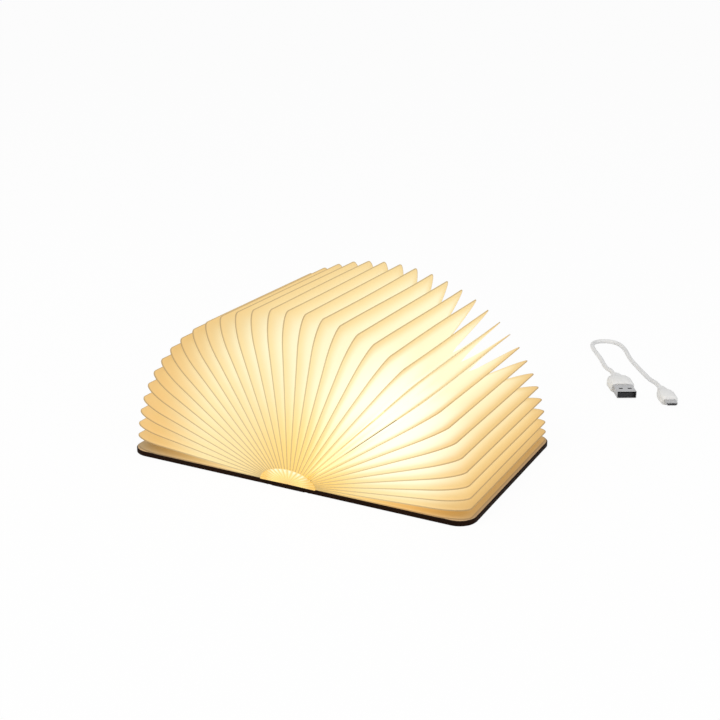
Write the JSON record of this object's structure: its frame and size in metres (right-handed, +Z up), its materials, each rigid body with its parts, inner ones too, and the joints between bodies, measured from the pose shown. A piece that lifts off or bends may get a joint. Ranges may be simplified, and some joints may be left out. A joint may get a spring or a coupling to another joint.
{
  "type": "folding book lamp",
  "caption": "Pocket lamp shaped as a hardback book: leatherette covers open flat while a pleated paper bellows fans out over a light module on the spine, with a charging cable.",
  "frame": {"origin": "middle of the spine on the table, at the bottom centre of the open book", "axes": "+X towards the right cover, +Y along the spine towards its rear end with the charging socket, +Z up"},
  "size_m": [0.2518, 0.3101, 0.0934],
  "materials": {
    "leatherette": "dark brown grained leatherette",
    "grey_board": "compressed grey board",
    "liner_paper": "matt cream lining paper",
    "page_paper": "translucent fibre paper, lit from inside",
    "magnet_steel": "plated magnet",
    "module_white": "white moulded plastic",
    "diffuser_white": "frosted plastic",
    "board_green": "solder mask",
    "led_yellow": "phosphor cap",
    "cell_wrap": "pouch foil",
    "connector_steel": "nickel plated",
    "cable_white": "soft white sheath",
    "plug_white": "white moulded grip",
    "plug_insert": "black plug insert"
  },
  "bodies": {
    "spine": {"spine_board": "grey_board", "spine_wrap": "leatherette", "right_hinge_strip": "leatherette", "left_hinge_strip": "leatherette", "module_tray": "module_white", "module_diffuser": "diffuser_white", "led_board": "board_green", "leds": "led_yellow", "battery_cell": "cell_wrap", "charge_board": "board_green", "micro_usb_socket": "connector_steel"},
    "right_cover": {"right_cover_board": "grey_board", "right_cover_wrap": "leatherette", "right_cover_liner": "liner_paper", "right_magnets": "magnet_steel", "right_end_leaf": "page_paper"},
    "left_cover": {"left_cover_board": "grey_board", "left_cover_wrap": "leatherette", "left_cover_liner": "liner_paper", "left_magnets": "magnet_steel", "left_end_leaf": "page_paper"},
    "petal_01": {"petal_01": "page_paper"},
    "petal_02": {"petal_02": "page_paper"},
    "petal_03": {"petal_03": "page_paper"},
    "petal_04": {"petal_04": "page_paper"},
    "petal_05": {"petal_05": "page_paper"},
    "petal_06": {"petal_06": "page_paper"},
    "petal_07": {"petal_07": "page_paper"},
    "petal_08": {"petal_08": "page_paper"},
    "petal_09": {"petal_09": "page_paper"},
    "petal_10": {"petal_10": "page_paper"},
    "petal_11": {"petal_11": "page_paper"},
    "petal_12": {"petal_12": "page_paper"},
    "petal_13": {"petal_13": "page_paper"},
    "petal_14": {"petal_14": "page_paper"},
    "petal_15": {"petal_15": "page_paper"},
    "petal_16": {"petal_16": "page_paper"},
    "petal_17": {"petal_17": "page_paper"},
    "petal_18": {"petal_18": "page_paper"},
    "petal_19": {"petal_19": "page_paper"},
    "petal_20": {"petal_20": "page_paper"},
    "petal_21": {"petal_21": "page_paper"},
    "petal_22": {"petal_22": "page_paper"},
    "petal_23": {"petal_23": "page_paper"},
    "petal_24": {"petal_24": "page_paper"},
    "petal_25": {"petal_25": "page_paper"},
    "petal_26": {"petal_26": "page_paper"},
    "petal_27": {"petal_27": "page_paper"},
    "petal_28": {"petal_28": "page_paper"},
    "petal_29": {"petal_29": "page_paper"},
    "petal_30": {"petal_30": "page_paper"},
    "petal_31": {"petal_31": "page_paper"},
    "petal_32": {"petal_32": "page_paper"},
    "petal_33": {"petal_33": "page_paper"},
    "charging_cable": {"cable_cord": "cable_white", "usb_a_overmould": "plug_white", "usb_a_shell": "connector_steel", "usb_a_tongue": "plug_insert", "micro_usb_overmould": "plug_white", "micro_usb_shell": "connector_steel"}
  },
  "joints": [
    {"name": "right_cover_hinge", "type": "hinge", "parent": "spine", "child": "right_cover", "pos_m": [0.0109, 0, 0.0016], "axis": [0, -1, 0], "range_deg": [0, 90], "deforming": ["right_hinge_strip", "right_end_leaf"]},
    {"name": "left_cover_hinge", "type": "hinge", "parent": "spine", "child": "left_cover", "pos_m": [-0.0109, 0, 0.0016], "axis": [0, 1, 0], "range_deg": [0, 90], "deforming": ["left_hinge_strip", "left_end_leaf"]},
    {"name": "petal_01_fold", "type": "hinge", "parent": "spine", "child": "petal_01", "pos_m": [0.01066, 0, 0.00117], "axis": [0, -1, 0], "range_deg": [0, 86.98], "deforming": ["petal_01"]},
    {"name": "petal_02_fold", "type": "hinge", "parent": "spine", "child": "petal_02", "pos_m": [0.0105, 0, 0.0009], "axis": [0, -1, 0], "range_deg": [0, 83.42], "deforming": ["petal_02"]},
    {"name": "petal_03_fold", "type": "hinge", "parent": "spine", "child": "petal_03", "pos_m": [0.01035, 0, 0.00062], "axis": [0, -1, 0], "range_deg": [0, 79.43], "deforming": ["petal_03"]},
    {"name": "petal_04_fold", "type": "hinge", "parent": "spine", "child": "petal_04", "pos_m": [0.01021, 0, 0.00032], "axis": [0, -1, 0], "range_deg": [0, 75.08], "deforming": ["petal_04"]},
    {"name": "petal_05_fold", "type": "hinge", "parent": "spine", "child": "petal_05", "pos_m": [0.01007, 0, 0.00002], "axis": [0, -1, 0], "range_deg": [0, 70.42], "deforming": ["petal_05"]},
    {"name": "petal_06_fold", "type": "hinge", "parent": "spine", "child": "petal_06", "pos_m": [0.00995, 0, -0.00029], "axis": [0, -1, 0], "range_deg": [0, 65.53], "deforming": ["petal_06"]},
    {"name": "petal_07_fold", "type": "hinge", "parent": "spine", "child": "petal_07", "pos_m": [0.00984, 0, -0.0006], "axis": [0, -1, 0], "range_deg": [0, 60.44], "deforming": ["petal_07"]},
    {"name": "petal_08_fold", "type": "hinge", "parent": "spine", "child": "petal_08", "pos_m": [0.00976, 0, -0.00091], "axis": [0, -1, 0], "range_deg": [0, 55.2], "deforming": ["petal_08"]},
    {"name": "petal_09_fold", "type": "hinge", "parent": "spine", "child": "petal_09", "pos_m": [0.00973, 0, -0.00122], "axis": [0, -1, 0], "range_deg": [0, 49.84], "deforming": ["petal_09"]},
    {"name": "petal_10_fold", "type": "hinge", "parent": "spine", "child": "petal_10", "pos_m": [0.0098, 0, -0.00153], "axis": [0, -1, 0], "range_deg": [0, 44.38], "deforming": ["petal_10"]},
    {"name": "petal_11_fold", "type": "hinge", "parent": "spine", "child": "petal_11", "pos_m": [0.01, 0, -0.00184], "axis": [0, -1, 0], "range_deg": [0, 38.85], "deforming": ["petal_11"]},
    {"name": "petal_12_fold", "type": "hinge", "parent": "spine", "child": "petal_12", "pos_m": [0.01044, 0, -0.00216], "axis": [0, -1, 0], "range_deg": [0, 33.26], "deforming": ["petal_12"]},
    {"name": "petal_13_fold", "type": "hinge", "parent": "spine", "child": "petal_13", "pos_m": [0.01127, 0, -0.00249], "axis": [0, -1, 0], "range_deg": [0, 27.62], "deforming": ["petal_13"]},
    {"name": "petal_14_fold", "type": "hinge", "parent": "spine", "child": "petal_14", "pos_m": [0.01283, 0, -0.00288], "axis": [0, -1, 0], "range_deg": [0, 21.94], "deforming": ["petal_14"]},
    {"name": "petal_15_fold", "type": "hinge", "parent": "spine", "child": "petal_15", "pos_m": [0.01592, 0, -0.00341], "axis": [0, -1, 0], "range_deg": [0, 16.23], "deforming": ["petal_15"]},
    {"name": "petal_16_fold", "type": "hinge", "parent": "spine", "child": "petal_16", "pos_m": [0.02311, 0, -0.00435], "axis": [0, -1, 0], "range_deg": [0, 10.48], "deforming": ["petal_16"]},
    {"name": "petal_17_fold", "type": "hinge", "parent": "spine", "child": "petal_17", "pos_m": [0.04969, 0, -0.00736], "axis": [0, -1, 0], "range_deg": [0, 4.7], "deforming": ["petal_17"]},
    {"name": "petal_18_fold", "type": "hinge", "parent": "spine", "child": "petal_18", "pos_m": [-0.20878, 0, 0.02048], "axis": [0, 1, 0], "range_deg": [0, 1.11], "deforming": ["petal_18"]},
    {"name": "petal_19_fold", "type": "hinge", "parent": "spine", "child": "petal_19", "pos_m": [-0.03435, 0, 0.00156], "axis": [0, 1, 0], "range_deg": [0, 6.96], "deforming": ["petal_19"]},
    {"name": "petal_20_fold", "type": "hinge", "parent": "spine", "child": "petal_20", "pos_m": [-0.01975, 0, -0.00005], "axis": [0, 1, 0], "range_deg": [0, 12.84], "deforming": ["petal_20"]},
    {"name": "petal_21_fold", "type": "hinge", "parent": "spine", "child": "petal_21", "pos_m": [-0.0147, 0, -0.00059], "axis": [0, 1, 0], "range_deg": [0, 18.74], "deforming": ["petal_21"]},
    {"name": "petal_22_fold", "type": "hinge", "parent": "spine", "child": "petal_22", "pos_m": [-0.01237, 0, -0.00081], "axis": [0, 1, 0], "range_deg": [0, 24.67], "deforming": ["petal_22"]},
    {"name": "petal_23_fold", "type": "hinge", "parent": "spine", "child": "petal_23", "pos_m": [-0.01116, 0, -0.00086], "axis": [0, 1, 0], "range_deg": [0, 30.62], "deforming": ["petal_23"]},
    {"name": "petal_24_fold", "type": "hinge", "parent": "spine", "child": "petal_24", "pos_m": [-0.01052, 0, -0.00082], "axis": [0, 1, 0], "range_deg": [0, 36.58], "deforming": ["petal_24"]},
    {"name": "petal_25_fold", "type": "hinge", "parent": "spine", "child": "petal_25", "pos_m": [-0.01021, 0, -0.00071], "axis": [0, 1, 0], "range_deg": [0, 42.52], "deforming": ["petal_25"]},
    {"name": "petal_26_fold", "type": "hinge", "parent": "spine", "child": "petal_26", "pos_m": [-0.01008, 0, -0.00055], "axis": [0, 1, 0], "range_deg": [0, 48.44], "deforming": ["petal_26"]},
    {"name": "petal_27_fold", "type": "hinge", "parent": "spine", "child": "petal_27", "pos_m": [-0.01007, 0, -0.00035], "axis": [0, 1, 0], "range_deg": [0, 54.29], "deforming": ["petal_27"]},
    {"name": "petal_28_fold", "type": "hinge", "parent": "spine", "child": "petal_28", "pos_m": [-0.01012, 0, -0.00012], "axis": [0, 1, 0], "range_deg": [0, 60.07], "deforming": ["petal_28"]},
    {"name": "petal_29_fold", "type": "hinge", "parent": "spine", "child": "petal_29", "pos_m": [-0.01021, 0, 0.00013], "axis": [0, 1, 0], "range_deg": [0, 65.71], "deforming": ["petal_29"]},
    {"name": "petal_30_fold", "type": "hinge", "parent": "spine", "child": "petal_30", "pos_m": [-0.01032, 0, 0.00039], "axis": [0, 1, 0], "range_deg": [0, 71.17], "deforming": ["petal_30"]},
    {"name": "petal_31_fold", "type": "hinge", "parent": "spine", "child": "petal_31", "pos_m": [-0.01044, 0, 0.00065], "axis": [0, 1, 0], "range_deg": [0, 76.41], "deforming": ["petal_31"]},
    {"name": "petal_32_fold", "type": "hinge", "parent": "spine", "child": "petal_32", "pos_m": [-0.01057, 0, 0.00092], "axis": [0, 1, 0], "range_deg": [0, 81.34], "deforming": ["petal_32"]},
    {"name": "petal_33_fold", "type": "hinge", "parent": "spine", "child": "petal_33", "pos_m": [-0.01069, 0, 0.00118], "axis": [0, 1, 0], "range_deg": [0, 85.9], "deforming": ["petal_33"]},
    {"name": "cable_lift", "type": "slide", "parent": "spine", "child": "charging_cable", "axis": [0, 0, 1], "range_m": [0, 0.1]}
  ],
  "couplings": [
    {"joint": "left_cover_hinge", "follows": "right_cover_hinge", "ratio": 1},
    {"joint": "petal_01_fold", "follows": "right_cover_hinge", "ratio": 0.96639},
    {"joint": "petal_02_fold", "follows": "right_cover_hinge", "ratio": 0.92693},
    {"joint": "petal_03_fold", "follows": "right_cover_hinge", "ratio": 0.88258},
    {"joint": "petal_04_fold", "follows": "right_cover_hinge", "ratio": 0.83419},
    {"joint": "petal_05_fold", "follows": "right_cover_hinge", "ratio": 0.78249},
    {"joint": "petal_06_fold", "follows": "right_cover_hinge", "ratio": 0.72811},
    {"joint": "petal_07_fold", "follows": "right_cover_hinge", "ratio": 0.67158},
    {"joint": "petal_08_fold", "follows": "right_cover_hinge", "ratio": 0.61334},
    {"joint": "petal_09_fold", "follows": "right_cover_hinge", "ratio": 0.55376},
    {"joint": "petal_10_fold", "follows": "right_cover_hinge", "ratio": 0.49313},
    {"joint": "petal_11_fold", "follows": "right_cover_hinge", "ratio": 0.43167},
    {"joint": "petal_12_fold", "follows": "right_cover_hinge", "ratio": 0.36955},
    {"joint": "petal_13_fold", "follows": "right_cover_hinge", "ratio": 0.30691},
    {"joint": "petal_14_fold", "follows": "right_cover_hinge", "ratio": 0.24382},
    {"joint": "petal_15_fold", "follows": "right_cover_hinge", "ratio": 0.18032},
    {"joint": "petal_16_fold", "follows": "right_cover_hinge", "ratio": 0.11645},
    {"joint": "petal_17_fold", "follows": "right_cover_hinge", "ratio": 0.052222},
    {"joint": "petal_18_fold", "follows": "right_cover_hinge", "ratio": 0.01237},
    {"joint": "petal_19_fold", "follows": "right_cover_hinge", "ratio": 0.077322},
    {"joint": "petal_20_fold", "follows": "right_cover_hinge", "ratio": 0.14262},
    {"joint": "petal_21_fold", "follows": "right_cover_hinge", "ratio": 0.20825},
    {"joint": "petal_22_fold", "follows": "right_cover_hinge", "ratio": 0.27415},
    {"joint": "petal_23_fold", "follows": "right_cover_hinge", "ratio": 0.34023},
    {"joint": "petal_24_fold", "follows": "right_cover_hinge", "ratio": 0.40639},
    {"joint": "petal_25_fold", "follows": "right_cover_hinge", "ratio": 0.47244},
    {"joint": "petal_26_fold", "follows": "right_cover_hinge", "ratio": 0.53817},
    {"joint": "petal_27_fold", "follows": "right_cover_hinge", "ratio": 0.60327},
    {"joint": "petal_28_fold", "follows": "right_cover_hinge", "ratio": 0.6674},
    {"joint": "petal_29_fold", "follows": "right_cover_hinge", "ratio": 0.73009},
    {"joint": "petal_30_fold", "follows": "right_cover_hinge", "ratio": 0.79083},
    {"joint": "petal_31_fold", "follows": "right_cover_hinge", "ratio": 0.84897},
    {"joint": "petal_32_fold", "follows": "right_cover_hinge", "ratio": 0.9038},
    {"joint": "petal_33_fold", "follows": "right_cover_hinge", "ratio": 0.95447}
  ]
}
